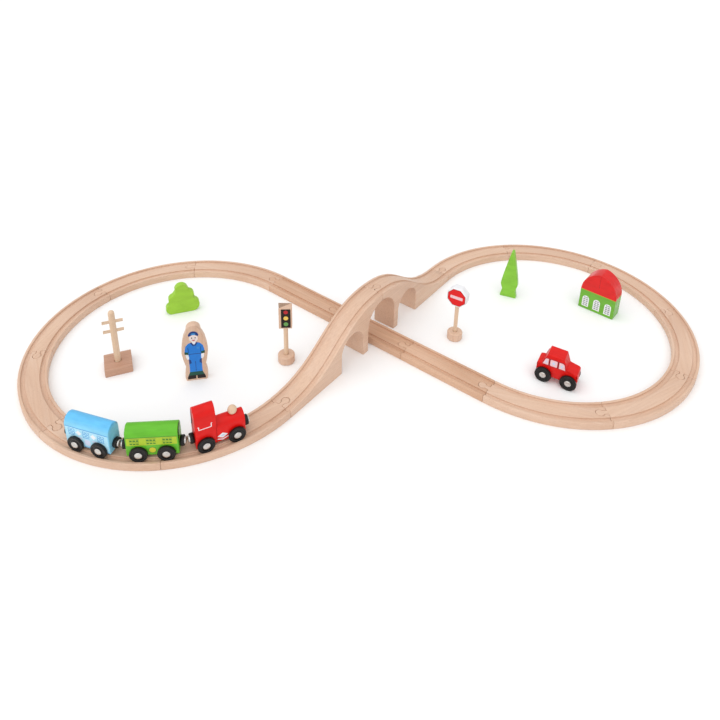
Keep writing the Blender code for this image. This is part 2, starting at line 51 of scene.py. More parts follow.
# The layout's own numbers, as the CAD has them
CURVE_RADIUS = 216 * MM
LOOP_CENTRE = CURVE_RADIUS * math.sqrt(2)
CURVE_TURN = math.radians(45)
BODY_END = 33 * MM

# More of them in millimetres, as the profiles and prints are
WHEEL_INNER = 11.1  # inner face of a train wheel, from the middle of the vehicle
WHEEL_RADIUS = 11.6
AXLE_HEIGHT = 20.9  # of a train axle above the floor
AXLE_RADIUS = 1.5
COUPLER_HEIGHT = 28
FUNNEL_OFFSET = 19
WAGON_WHEELBASE = 35
LOCO_WHEELBASE = 41.2
CAR_WHEELBASE = 37.4
CAR_WHEEL_RADIUS = 12.4
SIGN_CENTRE = 83
LAMP_OFFSET = 0.9

# Half of each piece's depth, where its prints lie, also in millimetres
WAGON_FACE = 10.8
BOILER_FACE = 10.4
CAR_FACE = 12
LIGHT_FACE = 6.5
SIGN_FACE = 7
MAN_FACE = 5.5
HOUSE_FACE = 14
BOTH = (-1, 1)  # the faces at -Y and +Y


# ---- Material graphs ----

class Graph:
    """A material's node tree, built one node at a time."""

    def __init__(self, name):
        self.material = bpy.data.materials.new(name)
        self.material.use_nodes = True
        self.tree = self.material.node_tree
        self.shader = self.tree.nodes["Principled BSDF"]

    def put(self, socket, value):
        if isinstance(value, bpy.types.NodeSocket):
            self.tree.links.new(value, socket)
        else:
            socket.default_value = value

    def node(self, kind, inputs, output=0, **settings):
        made = self.tree.nodes.new("ShaderNode" + kind)
        for key, value in settings.items():
            setattr(made, key, value)
        for key, value in inputs.items():
            self.put(made.inputs[key], value)
        return made.outputs[output]

    def place(self, stretch=(1, 1, 1)):
        """The piece's grain coordinates in millimetres, stretched."""
        grain = self.node("Attribute", {}, 1, attribute_name="grain")
        scale = tuple(s / MM for s in stretch)
        return self.node("VectorMath", {0: grain, 1: scale}, operation="MULTIPLY")

    def noise(self, stretch, detail=2.0, roughness=0.5, distortion=0.0):
        """Noise with a cell of one millimetre over stretch on each axis."""
        inputs = {"Vector": self.place(stretch), "Scale": 1.0, "Detail": detail, "Roughness": roughness,
                  "Distortion": distortion}
        return self.node("TexNoise", inputs)

    def math(self, operation, a, b, clamp=False):
        return self.node("Math", {0: a, 1: b}, operation=operation, use_clamp=clamp)

    def span(self, value, low, high, to_low=0.0, to_high=1.0):
        inputs = {"Value": value, "From Min": low, "From Max": high, "To Min": to_low, "To Max": to_high}
        return self.node("MapRange", inputs)

    def mix(self, share, a, b, blend="MIX"):
        inputs = {0: share, 6: a, 7: b}
        return self.node("Mix", inputs, 2, data_type="RGBA", blend_type=blend)

    def finish(self, colour, roughness, height, depth, **constants):
        """Joins colour, roughness and bump to the shader; the constants are set on its own sockets."""
        bump = self.node("Bump", {"Height": height, "Strength": 1.0, "Distance": depth})
        self.put(self.shader.inputs["Base Color"], colour)
        self.put(self.shader.inputs["Roughness"], roughness)
        self.put(self.shader.inputs["Normal"], bump)
        for key, value in constants.items():
            self.shader.inputs[key.replace("_", " ")].default_value = value
        return self.material


def shade(colour, factor):
    return tuple(min(1.0, c * factor) for c in colour[:3]) + (1.0,)


def wood(name, light, dark, contrast=0.5, depth=0.05):
    """Sanded beech with its grain along the piece's X: growth bands, fibres and short dark flecks."""
    g = Graph(name)
    rings = g.node("TexWave", {"Vector": g.place((0.012, 1, 1)), "Scale": 0.085, "Distortion": 5.0,
                               "Detail": 2.0, "Detail Scale": 0.35, "Detail Roughness": 0.55},
                   1, wave_type="RINGS", rings_direction="X", wave_profile="SAW")
    fibres = g.noise((0.035, 1.3, 1.3), 4.0, 0.65)
    strands = g.noise((0.012, 0.28, 0.28), 3.0, 0.6, 0.4)
    flecks = g.span(g.noise((0.3, 3.2, 3.2), 1.0, 0.4), 0.66, 0.72)
    tone = g.noise((0.006, 0.02, 0.02), 1.0)
    depth_of_tone = g.math("MULTIPLY", g.span(strands, 0.32, 0.68), contrast)
    depth_of_tone = g.math("ADD", depth_of_tone, g.math("MULTIPLY", rings, 0.35 * contrast))
    depth_of_tone = g.math("ADD", depth_of_tone, g.span(fibres, 0.3, 0.7, -0.12, 0.16))
    depth_of_tone = g.math("ADD", depth_of_tone, g.span(tone, 0.35, 0.65, -0.15, 0.25), True)
    colour = g.mix(depth_of_tone, light, dark)
    warm = g.span(g.noise((0.01, 0.09, 0.09), 2.0), 0.35, 0.65, 0.0, 0.35)
    colour = g.mix(warm, colour, (1.0, 0.93, 0.84, 1.0), "MULTIPLY")
    colour = g.mix(g.math("MULTIPLY", flecks, 0.45), colour, shade(dark, 0.55))
    roughness = g.span(fibres, 0.25, 0.75, 0.42, 0.6)
    height = g.math("SUBTRACT", g.math("MULTIPLY", fibres, 0.8), g.math("MULTIPLY", flecks, 0.6))
    return g.finish(colour, roughness, height, depth * MM, Specular_IOR_Level=0.4, Coat_Weight=0.12,
                    Coat_Roughness=0.35)


def paint(name, colour, roughness=0.36, coat=0.08, grain=0.05, wear=0.06, below=None, split=(0, 0)):
    """Paint on wood: the grain shows faintly through it, with small brush and spray unevenness. A second
    colour can lie below the two heights of split, in millimetres, and fade into the first between them."""
    g = Graph(name)
    fibres = g.noise((0.04, 0.9, 0.9), 3.0, 0.6)
    cloud = g.noise((0.05, 0.12, 0.12), 2.0)
    peel = g.noise((1.6, 1.6, 1.6), 1.0)
    tone = g.math("ADD", g.span(fibres, 0.3, 0.7, 0.0, 0.4), g.span(cloud, 0.35, 0.65, 0.0, 0.6), True)
    base = g.mix(tone, shade(colour, 1.0 + wear), shade(colour, 1.0 - 2.0 * wear))
    if below:
        lower = g.mix(tone, shade(below, 1.0 + wear), shade(below, 1.0 - 2.0 * wear))
        up = g.node("SeparateXYZ", {0: g.node("TexCoord", {}, 3)}, 2)
        base = g.mix(g.span(up, split[0] * MM, split[1] * MM), lower, base)
    height = g.math("ADD", g.math("MULTIPLY", fibres, 0.75), g.math("MULTIPLY", peel, 0.25))
    rough = g.span(cloud, 0.3, 0.7, roughness - 0.06, roughness + 0.1)
    return g.finish(base, rough, height, grain * MM, Specular_IOR_Level=0.25, Coat_Weight=coat,
                    Coat_Roughness=0.16)


def ink(name, colour, roughness=0.42):
    """Screen-printed ink with a fine mottle."""
    g = Graph(name)
    mottle = g.noise((2.2, 2.2, 2.2), 2.0)
    cloud = g.noise((0.15, 0.15, 0.15), 1.0)
    tone = g.math("ADD", g.span(mottle, 0.3, 0.7, 0.0, 0.5), g.span(cloud, 0.3, 0.7, 0.0, 0.5), True)
    base = g.mix(tone, shade(colour, 1.05), shade(colour, 0.9))
    return g.finish(base, g.span(mottle, 0.3, 0.7, roughness - 0.05, roughness + 0.1), mottle, 0.012 * MM,
                    Specular_IOR_Level=0.25, Coat_Weight=0.05, Coat_Roughness=0.2)


def plastic(name, colour):
    """Moulded plastic with a fine grain."""
    g = Graph(name)
    fine = g.noise((2.6, 2.6, 2.6), 2.0)
    broad = g.noise((0.2, 0.2, 0.2), 1.0)
    base = g.mix(g.span(broad, 0.3, 0.7), shade(colour, 1.25), shade(colour, 0.8))
    rough = g.span(g.math("ADD", fine, broad), 0.7, 1.3, 0.26, 0.42)
    return g.finish(base, rough, fine, 0.02 * MM, Specular_IOR_Level=0.25, Coat_Weight=0.04,
                    Coat_Roughness=0.2)


def metal(name, colour):
    """Plated steel, drawn along its X."""
    g = Graph(name)
    fine = g.noise((0.8, 4.0, 4.0), 2.0)
    cloud = g.noise((0.3, 0.3, 0.3), 2.0)
    base = g.mix(g.span(cloud, 0.3, 0.7), shade(colour, 1.06), shade(colour, 0.86))
    rough = g.span(g.math("ADD", fine, cloud), 0.7, 1.3, 0.30, 0.46)
    return g.finish(base, rough, fine, 0.01 * MM, Metallic=1.0)


BEECH = wood("beech", (0.73, 0.515, 0.385, 1), (0.57, 0.355, 0.245, 1), 0.4)
BEECH_WARM = wood("beech_warm", (0.70, 0.46, 0.32, 1), (0.54, 0.315, 0.20, 1), 0.5)
BEECH_RED = wood("beech_red", (0.61, 0.375, 0.265, 1), (0.45, 0.235, 0.155, 1), 0.6)
BEECH_PALE = wood("beech_pale", (0.77, 0.58, 0.42, 1), (0.65, 0.45, 0.30, 1), 0.35)
RED = paint("red_paint", (0.72, 0.005, 0.003), 0.4, 0.03)
GREEN = paint("green_paint", (0.125, 0.47, 0.024))
LIME = paint("lime_paint", (0.33, 0.60, 0.045), 0.4, 0.1)
LEAF = paint("leaf_paint", (0.24, 0.56, 0.045), 0.4, 0.1)
# Painted highlight: below 50 to 56 mm the blue fades into a lighter cyan, which stands in for the sheen on the
# lower part of the rounded roof next to the eave; the same cyan colours the rest of the body below those heights.
BLUE = paint("blue_paint", (0.13, 0.51, 0.86), below=(0.24, 0.62, 0.86), split=(50, 56))
WHITE = paint("white_paint", (0.84, 0.84, 0.86), 0.4, 0.1)
HOUSE = paint("house_paint", (0.70, 0.004, 0.003), 0.36, 0.3, below=(0.15, 0.42, 0.03), split=(37.9, 38.1))
BLACK = plastic("black_plastic", (0.010, 0.009, 0.009))
STEEL = metal("steel", (0.66, 0.63, 0.60))
SKY_INK = ink("sky_ink", (0.42, 0.74, 0.90))
BLUE_INK = ink("blue_ink", (0.045, 0.28, 0.66))
WHITE_INK = ink("white_ink", (0.86, 0.86, 0.88))
LILAC_INK = ink("lilac_ink", (0.62, 0.68, 0.86))
GREEN_INK = ink("green_ink", (0.05, 0.21, 0.03))
BAND_INK = ink("band_ink", (0.42, 0.56, 0.03))
YELLOW_INK = ink("yellow_ink", (0.60, 0.57, 0.03))
BLACK_INK = ink("black_ink", (0.016, 0.010, 0.010))
RED_INK = ink("red_ink", (0.76, 0.012, 0.014))
CRIMSON_INK = ink("crimson_ink", (0.50, 0.02, 0.03))
DARK_RED_INK = ink("dark_red_ink", (0.24, 0.006, 0.010))
AMBER_INK = ink("amber_ink", (0.86, 0.58, 0.12))
LAMP_GREEN_INK = ink("lamp_green_ink", (0.14, 0.36, 0.10))
PINK_INK = ink("pink_ink", (0.86, 0.58, 0.62))
PANE_INK = ink("pane_ink", (0.30, 0.33, 0.32))
ORANGE_INK = ink("orange_ink", (0.62, 0.26, 0.03))
OVERALL_INK = ink("overall_ink", (0.018, 0.21, 0.70))
NAVY_INK = ink("navy_ink", (0.016, 0.055, 0.22))
SKIN_INK = ink("skin_ink", (0.84, 0.74, 0.72))
CUFF_INK = ink("cuff_ink", (0.012, 0.085, 0.060))


# ---- Frames and pieces ----

def upright(matrix):
    """The same place with local X pointing up, so that the grain runs up the piece."""
    return matrix @ Matrix.Rotation(-math.pi / 2, 4, "Y")


def standing(spot, heading):
    return Matrix.Translation((*spot, 0)) @ Matrix.Rotation(heading, 4, "Z")


def axle_frame(body):
    """X ahead, Y along the axle, origin on it."""
    joint = JOINTS[body]
    left = Vector(joint["axis"]).normalized()
    ahead = left.cross(Vector((0, 0, 1)))
    turn = Matrix((ahead, left, Vector((0, 0, 1)))).transposed().to_4x4()
    return Matrix.Translation(joint["pos_m"]) @ turn


def vehicle_frame(body):
    """X ahead, Z up, origin on the floor between the vehicle's two axles."""
    front, rear = (axle_frame(f"{body}_wheelset_{end}") for end in ("front", "rear"))
    middle = (front.translation + rear.translation) / 2
    made = front.copy()
    made.translation = (middle.x, middle.y, 0)
    return made


def piece(name, mesh, matrix, body, look, nodes=(), level=False):
    """A new piece from a bmesh in its own frame, whose X is the way of the grain. A level piece has
    the frame's axes instead, which keeps the box round a curve tight, and only its grain is turned."""
    data = bpy.data.meshes.new(name)
    mesh.to_mesh(data)
    mesh.free()
    data.materials.append(look)
    data.shade_smooth()
    number = sum(ord(letter) * (k + 3) for k, letter in enumerate(name))
    shift = Vector((number * factor) % 1.0 for factor in (0.137, 0.291, 0.533))
    grain = data.attributes.new("grain", "FLOAT_VECTOR", "POINT")
    grain.data.foreach_set("vector", [value for vert in data.vertices for value in vert.co + shift])
    made = bpy.data.objects.new(name, data)
    if level:
        data.transform(matrix)
    else:
        made.matrix_world = matrix
    bpy.context.scene.collection.objects.link(made)
    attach(made, body)
    if nodes:
        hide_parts(*nodes)
    return made


def soften(made, width, segments=2, limit=30, skip=None):
    """Rounds the edges that turn by more than limit degrees, apart from those whose middle skip picks."""
    data = made.data
    mesh = bmesh.new()
    mesh.from_mesh(data)
    weights = mesh.edges.layers.float.new("bevel_weight_edge")
    for edge in mesh.edges:
        turn = edge.calc_face_angle(0.0)
        sharp = turn > math.radians(limit)
        if sharp and not (skip and skip((edge.verts[0].co + edge.verts[1].co) / 2)):
            edge[weights] = 1.0
        if sharp:
            edge.smooth = False
    mesh.to_mesh(data)
    mesh.free()
    bevel = made.modifiers.new("soft_edges", "BEVEL")
    bevel.width = width
    bevel.segments = segments
    bevel.limit_method = "WEIGHT"
    bevel.use_clamp_overlap = False
    bevel.miter_outer = "MITER_ARC"
    return made


def carved(node, matrix, look, width, segments=2, skip=None, limit=30, level=False):
    """A piece with a CAD node's shape, its flat faces whole again and its edges softened."""
    mesh = bmesh.new()
    mesh.from_mesh(frame["nodes"][node].data)
    bmesh.ops.remove_doubles(mesh, verts=mesh.verts, dist=0.002 * MM)
    mesh.transform(matrix.inverted())
    bmesh.ops.dissolve_limit(mesh, angle_limit=math.radians(0.6), verts=mesh.verts, edges=mesh.edges)
    made = piece(node + "_piece", mesh, matrix, BODY_OF[node], look, [node], level)
    return soften(made, width, segments, limit, skip)


def lathe(profile, steps=40, way=1, axis="Y"):
    """A closed bmesh turned about Y or X from (radius, height) points in millimetres. Heights run along the
    axis where way is 1, and against it where way is -1."""
    mesh = bmesh.new()
    loops = []
    for radius, height in profile:
        if radius == 0:
            loops.append([mesh.verts.new((0, 0, height * MM))] * steps)
            continue
        ring = []
        for k in range(steps):
            turn = 2 * math.pi * k / steps
            spot = (radius * MM * math.cos(turn), radius * MM * math.sin(turn), height * MM)
            ring.append(mesh.verts.new(spot))
        loops.append(ring)
    pairs = list(zip(loops, loops[1:]))
    if profile[0][0] > 0:
        pairs.append((loops[-1], loops[0]))
    for near, far in pairs:
        for i in range(steps):
            j = (i + 1) % steps
            mesh.faces.new(list(dict.fromkeys((near[i], near[j], far[j], far[i]))))
    bmesh.ops.recalc_face_normals(mesh, faces=mesh.faces)
    if axis == "Y":
        mesh.transform(Matrix.Rotation(-way * math.pi / 2, 4, "X"))
    if axis == "X":
        mesh.transform(Matrix.Rotation(way * math.pi / 2, 4, "Y"))
    return mesh


def crisp(made, limit):
    """Keeps the edges that turn by more than limit degrees sharp in shading."""
    made.data.set_sharp_from_angle(angle=math.radians(limit))
    return made


def rounded(x, z, wide, high, radius, steps=4):
    """A rectangle with round corners, as (x, z) points in millimetres."""
    points = []
    for cx, cz, start in ((1, 1, 0), (-1, 1, 90), (-1, -1, 180), (1, -1, 270)):
        for k in range(steps + 1):
            turn = math.radians(start + 90 * k / steps)
            points.append((x + cx * (wide / 2 - radius) + radius * math.cos(turn),
                           z + cz * (high / 2 - radius) + radius * math.sin(turn)))
    return points


def oval(x, z, rx, rz=None, steps=24, start=0, end=360):
    """A circle, an ellipse or an arc of one, as (x, z) points."""
    rz = rx if rz is None else rz
    full = end - start >= 360
    count = steps if full else steps + 1
    turns = [math.radians(start + (end - start) * k / steps) for k in range(count)]
    return [(x + rx * math.cos(t), z + rz * math.sin(t)) for t in turns]


def arch(x, low, wide, high, steps=10):
    """A window with a round head."""
    half = wide / 2
    return [(x - half, low), (x + half, low)] + oval(x, low + high - half, half, half, steps, 0, 180)


def frame_line(outline, width):
    """A closed line of about some width, as a pair of outlines: the given one and one inside it."""
    cx = sum(p[0] for p in outline) / len(outline)
    cz = sum(p[1] for p in outline) / len(outline)
    inner = []
    for x, z in outline:
        away = math.hypot(x - cx, z - cz)
        share = max(0.0, 1 - width / away)
        inner.append((cx + (x - cx) * share, cz + (z - cz) * share))
    return outline, inner


def plates(name, shapes, matrix, body, look, face, rise=0.05, sink=0.12, sides=(-1,)):
    """Printed shapes as thin closed plates on the faces at Y = -face or +face, in millimetres.
    A shape is an outline, or a pair of outlines with a gap inside."""
    mesh = bmesh.new()

    def put(x, z, height, side):
        return mesh.verts.new((x * MM, side * (face + height) * MM, z * MM))

    for side in sides:
        for shape in shapes:
            ring = isinstance(shape, tuple)
            outer = shape[0] if ring else shape
            low = [put(x, z, -sink, side) for x, z in outer]
            high = [put(x, z, rise, side) for x, z in outer]
            count = len(outer)
            wall = [(i, (i + 1) % count) for i in range(count)]
            for i, j in wall:
                mesh.faces.new((low[i], low[j], high[j], high[i]))
            if not ring:
                mesh.faces.new(high)
                mesh.faces.new(list(reversed(low)))
                continue
            in_low = [put(x, z, -sink, side) for x, z in shape[1]]
            in_high = [put(x, z, rise, side) for x, z in shape[1]]
            for i, j in wall:
                mesh.faces.new((in_low[j], in_low[i], in_high[i], in_high[j]))
                mesh.faces.new((high[i], high[j], in_high[j], in_high[i]))
                mesh.faces.new((low[j], low[i], in_low[i], in_low[j]))
    bmesh.ops.recalc_face_normals(mesh, faces=mesh.faces)
    return crisp(piece(name, mesh, matrix, body, look), 20)


# ---- Track ----

def curve_frame(side, number):
    """On the middle of a curve piece, with X along its chord. The pieces are numbered around each loop."""
    if side == "left":
        way, centre, start = -1, -LOOP_CENTRE, -math.pi / 4
    else:
        way, centre, start = 1, LOOP_CENTRE, math.pi / 4 - math.pi
    angle = start + way * (number - 0.5) * CURVE_TURN
    spot = (centre + CURVE_RADIUS * math.cos(angle), CURVE_RADIUS * math.sin(angle))
    return standing(spot, angle + way * math.pi / 2)


def track():
    for side in ("left", "right"):
        for number in range(1, 7):
            carved(f"track_curve_{side}_{number}", curve_frame(side, number), BEECH, 0.7 * MM, level=True)
    for number in range(1, 4):
        carved(f"track_straight_{number}", standing((0, 0), -math.pi / 4), BEECH_WARM, 0.7 * MM)
    for side in ("left", "right"):
        carved(f"bridge_half_{side}", standing((0, 0), math.pi / 4), BEECH, 0.8 * MM)


# ---- Rolling stock ----

# Turned profiles as (radius, height) points: a wheel with a rim and a hub ring from its inner face out, a hub
# cap, and a coupler's cup and magnet from the end of the block out
TYRE = [(1.9, 0), (11.0, 0), (11.4, 0.15), (11.6, 0.5), (11.6, 3.1), (11.45, 3.55), (11.1, 3.85),
        (10.6, 4.0), (9.9, 3.95), (9.5, 3.75), (9.1, 3.3), (8.85, 3.1), (8.4, 3.05), (6.9, 3.05),
        (6.5, 3.15), (6.25, 3.45), (5.95, 3.75), (5.4, 3.85), (1.9, 3.85)]
DOME = [(0, 1.45), (1.0, 1.42), (2.0, 1.3), (3.0, 1.08), (3.9, 0.75), (4.5, 0.38), (4.9, 0.08),
        (4.95, -0.1), (4.85, -0.2)]
CUP = [(0, 0.3), (5.9, 0.3), (6.6, 0.5), (7.0, 1.0), (7.0, 5.0), (6.85, 5.5), (6.4, 5.8), (5.5, 5.8),
       (5.2, 5.55), (5.1, 5.0), (0, 5.0)]
MAGNET = [(0, 5.0), (4.6, 5.0), (4.6, 7.3), (4.45, 7.6), (4.1, 7.8), (0.9, 7.8), (0.7, 7.6), (0, 7.6)]


def shifted(profile, up):
    return [(radius, height + up) for radius, height in profile]


def axle_profile(hub):
    """Half a profile with a hub cap whose foot lies at hub, a thinner rod behind it, and its mirror image."""
    half = shifted(DOME, hub) + [(AXLE_RADIUS, hub - 0.2)]
    return half + [(radius, -height) for radius, height in reversed(half)]


def wheelset(vehicle, end):
    body = f"{vehicle}_wheelset_{end}"
    matrix = axle_frame(body)
    for side, way in (("left", 1), ("right", -1)):
        node = f"{vehicle}_wheel_{end}_{side}"
        made = piece(node + "_turned", lathe(shifted(TYRE, WHEEL_INNER), 56, way), matrix, body, BLACK,
                     [node])
        crisp(made, 50)
    hub = WHEEL_INNER + 4.3
    node = f"{vehicle}_axle_{end}"
    crisp(piece(node + "_turned", lathe(axle_profile(hub), 36), matrix, body, STEEL, [node]), 50)


def couplers(vehicle, matrix):
    for end, way in (("front", 1), ("rear", -1)):
        node = f"{vehicle}_coupler_{end}"
        spot = matrix @ Matrix.Translation((way * BODY_END, 0, COUPLER_HEIGHT * MM))
        cup = piece(node + "_cup", lathe(CUP, 40, way, "X"), spot, vehicle, BLACK, [node])
        crisp(cup, 50)
        crisp(piece(node + "_magnet", lathe(MAGNET, 32, way, "X"), spot, vehicle, STEEL), 50)


def near_holes(wheelbase, height):
    """Picks the edges of the axle, coupler and funnel holes, which stay crisp."""
    axle_reach, coupler_reach, funnel_reach = 2.6, 2.3, 3.2
    ends, boiler_top = 20, 30

    def test(spot):
        x, y, z = spot / MM
        axle = math.hypot(abs(x) - wheelbase / 2, z - height) < axle_reach
        coupler = math.hypot(y, z - COUPLER_HEIGHT) < coupler_reach and abs(x) > ends
        funnel = math.hypot(x - FUNNEL_OFFSET, y) < funnel_reach and z > boiler_top
        return axle or coupler or funnel

    return test


def vehicle_body(vehicle, look, wheelbase, width=0.9 * MM):
    matrix = vehicle_frame(vehicle)
    carved(f"{vehicle}_body", matrix, look, width, 3, near_holes(wheelbase, AXLE_HEIGHT), 24)
    for end in ("front", "rear"):
        wheelset(vehicle, end)
    couplers(vehicle, matrix)
    return matrix


def blue_wagon():
    body = "blue_wagon"
    matrix = vehicle_body(body, BLUE, WAGON_WHEELBASE)
    panel = rounded(0, 31.9, 63.6, 28.4, 0.6)
    plates("blue_wagon_side_print", [panel], matrix, body, SKY_INK, WAGON_FACE, 0.04, 0.12, BOTH)
    line = rounded(0, 46.2, 63.8, 0.9, 0.4)
    skirt = rounded(0, 18.6, 63.6, 0.9, 0.4)
    frames, stars = [line, skirt], []
    for middle in (-22.6, -1.0, 21.0):
        for dx in (-2.7, 2.7):
            for dz in (0, 4.6):
                frames.append(frame_line(rounded(middle + dx, 37.2 + dz, 4.6, 3.8, 0.9, 3), 0.75))
        frames.append(rounded(middle, 33.6, 10.2, 0.9, 0.4))
    points = 16
    for middle in (-12.0, 10.2):
        star = []
        for k in range(points):
            turn = 2 * math.pi * k / points
            reach = 4.6 if k % 4 == 0 else 2.9 if k % 2 else 3.3
            star.append((middle + reach * 1.05 * math.cos(turn), 38.6 + reach * math.sin(turn)))
        stars.append(star)
    plates("blue_wagon_window_print", frames, matrix, body, BLUE_INK, WAGON_FACE, 0.08, 0.1, BOTH)
    plates("blue_wagon_star_print", stars, matrix, body, WHITE_INK, WAGON_FACE, 0.1, 0.1, BOTH)
    badge = [rounded(0, 26.2, 8.6, 9.0, 2.6)]
    for middle in (-10.8, 10.8):
        badge.append(rounded(middle, 31.0, 7.0, 2.2, 1.0))
    plates("blue_wagon_badge_print", badge, matrix, body, LILAC_INK, WAGON_FACE, 0.08, 0.1, BOTH)


def green_wagon():
    body = "green_wagon"
    matrix = vehicle_body(body, GREEN, WAGON_WHEELBASE)
    band = rounded(0, 39.9, 62.8, 12.2, 0.7)
    plates("green_wagon_band_print", [band], matrix, body, BAND_INK, WAGON_FACE, 0.04, 0.12, BOTH)
    dashes = [rounded(0, 46.4, 63.8, 0.8, 0.3)]
    for middle in (-21.6, -0.8, 19.4):
        for row, high in ((41.6, 2.4), (36.4, 1.9)):
            for k in (-1, 0, 1):
                dashes.append(rounded(middle + 4.1 * k, row, 3.3, high, 0.6, 3))
        dashes.append(rounded(middle, 44.2, 12.6, 0.6, 0.28))
        dashes.append(rounded(middle, 39.0, 12.6, 0.6, 0.28))
    plates("green_wagon_window_print", dashes, matrix, body, GREEN_INK, WAGON_FACE, 0.07, 0.1, BOTH)
    rim, ring_hole, disc = (oval(0, 25.4, reach, reach, 32) for reach in (5.0, 4.3, 4.4))
    plates("green_wagon_badge_print", [disc], matrix, body, YELLOW_INK, WAGON_FACE, 0.06, 0.1, BOTH)
    plates("green_wagon_badge_rim", [(rim, ring_hole)], matrix, body, GREEN_INK, WAGON_FACE, 0.08, 0.1, BOTH)


def loco():
    body = "loco"
    matrix = vehicle_body(body, RED, LOCO_WHEELBASE, 0.6 * MM)
    bracket = [rounded(-20.0, 47.2, 17.0, 1.1, 0.4), rounded(-28.1, 49.4, 1.1, 5.0, 0.4),
               rounded(-11.9, 50.0, 1.1, 6.2, 0.4), rounded(-28.7, 52.0, 2.2, 0.9, 0.4),
               rounded(-11.4, 53.2, 2.0, 0.9, 0.4)]
    plates("loco_cab_print", bracket, matrix, body, WHITE_INK, WAGON_FACE, 0.06, 0.1, BOTH)

    def chevron(tip, thick):
        return [(-7.8, tip + 4.8), (1.9, tip + thick), (11.6, tip + 4.8), (11.0, tip + 3.4), (1.9, tip),
                (-7.2, tip + 3.4)]

    diamond = [(-5.2, 25.7), (1.9, 21.4), (9.0, 25.7), (1.9, 30.0)]
    small = [(-1.2, 25.7), (1.9, 23.8), (5.0, 25.7), (1.9, 27.6)]
    badge = [diamond, chevron(18.2, 1.7)]
    plates("loco_badge_print", badge, matrix, body, WHITE_INK, BOILER_FACE, 0.06, 0.1, BOTH)
    plates("loco_badge_middle", [small], matrix, body, LILAC_INK, BOILER_FACE, 0.1, 0.1, BOTH)
    ball, radius = 52.96, 6.2
    dowel, foot, seat = 2.2, 39, 48.1
    profile = [(0, foot), (dowel, foot), (dowel, seat)]
    for k in range(17):
        turn = math.radians(-46 + 8 * k)
        profile.append((radius * math.cos(turn), ball + radius * math.sin(turn)))
    profile.append((0, ball + radius))
    mesh = lathe(profile, 40, 1, "X")
    spot = matrix @ Matrix.Translation((FUNNEL_OFFSET * MM, 0, 0)) @ Matrix.Rotation(-math.pi / 2, 4, "Y")
    crisp(piece("loco_funnel_turned", mesh, spot, body, BEECH_PALE, ["loco_funnel"]), 60)


def car():
    body = "car"
    matrix = vehicle_frame(body)
    carved("car_body", matrix, RED, 0.9 * MM, 3, near_holes(CAR_WHEELBASE, CAR_WHEEL_RADIUS), 24)
    rear = [(-21.8, 30.4), (-13.6, 30.4), (-13.6, 41.0), (-16.4, 41.2), (-18.2, 40.2)]
    middle = rounded(-5.8, 35.8, 10.4, 11.0, 1.4)
    front = [(2.2, 30.3), (11.6, 30.3), (9.8, 39.0), (7.8, 41.0), (2.2, 41.3)]
    surround = [(-23.4, 29.2), (13.4, 29.2), (10.8, 41.2), (8.4, 42.8), (-17.0, 42.8), (-19.4, 41.2)]
    plates("car_window_surrounds", [surround], matrix, body, CRIMSON_INK, CAR_FACE, 0.04, 0.1, BOTH)
    posts = [rounded(-12.3, 35.9, 1.7, 12.6, 0.5), rounded(0.9, 35.9, 1.7, 12.6, 0.5)]
    plates("car_window_posts", posts, matrix, body, DARK_RED_INK, CAR_FACE, 0.07, 0.1, BOTH)
    plates("car_window_panes", [rear, middle, front], matrix, body, PINK_INK, CAR_FACE, 0.09, 0.1, BOTH)
    centres = [oval(-16.8, 34.9, 1.5, 2.3), oval(-5.8, 35.8, 2.2, 2.7), oval(6.4, 35.3, 1.8, 2.5)]
    plates("car_window_shine", centres, matrix, body, LILAC_INK, CAR_FACE, 0.12, 0.1, BOTH)
    inner, hub = 12.5, 16.95
    taller, wider = CAR_WHEEL_RADIUS / WHEEL_RADIUS, 4.6 / 4
    tyre = [(radius * taller, height * wider) for radius, height in TYRE]
    for end in ("front", "rear"):
        wheels = f"car_wheelset_{end}"
        spot = axle_frame(wheels)
        for side, way in (("left", 1), ("right", -1)):
            made = piece(f"car_wheel_{end}_{side}", lathe(shifted(tyre, inner), 56, way), spot, wheels,
                         BLACK)
            crisp(made, 50)
        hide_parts(f"car_wheels_{end}")
        crisp(piece(f"car_axle_{end}", lathe(axle_profile(hub), 36), spot, wheels, STEEL), 50)


# ---- Trackside pieces ----

# Place and turn about Z, as the CAD has them
TELEGRAPH = standing((-396.5 * MM, -35 * MM), math.radians(14.2))
BUSH = standing((-315 * MM, 96.5 * MM), math.radians(12.3))
MAN = standing((-275.5 * MM, -71 * MM), math.radians(4))
TRAFFIC_LIGHT = standing((-141 * MM, -48 * MM), math.radians(-4))
STOP_SIGN = standing((135.8 * MM, -22 * MM), math.radians(-38))
TREE = standing((265 * MM, 84 * MM), math.radians(-30))
HOUSE_SPOT = standing((411 * MM, 27.3 * MM), math.radians(-47.7))


def telegraph():
    carved("telegraph_base", TELEGRAPH, BEECH_RED, 0.7 * MM)
    carved("telegraph_pole", upright(TELEGRAPH), BEECH_PALE, 0.35 * MM, 2, None, 40)


def traffic_light():
    for node, look in (("base", BEECH), ("post", BEECH_PALE), ("head", BEECH)):
        carved("traffic_light_" + node, upright(TRAFFIC_LIGHT), look, 0.5 * MM, 2, None, 40)
    body = "traffic_light"
    panel = rounded(LAMP_OFFSET, 84.5, 14.4, 33.6, 0.6)
    plates("traffic_light_panel", [panel], TRAFFIC_LIGHT, body, BLACK_INK, LIGHT_FACE, 0.06)
    for name, height, look, size in (("stop", 95.9, CRIMSON_INK, 3.3), ("wait", 85.0, AMBER_INK, 3.6),
                                     ("go", 74.3, LAMP_GREEN_INK, 3.5)):
        lamp = oval(LAMP_OFFSET, height, size)
        plates("traffic_light_lamp_" + name, [lamp], TRAFFIC_LIGHT, body, look, LIGHT_FACE, 0.12)


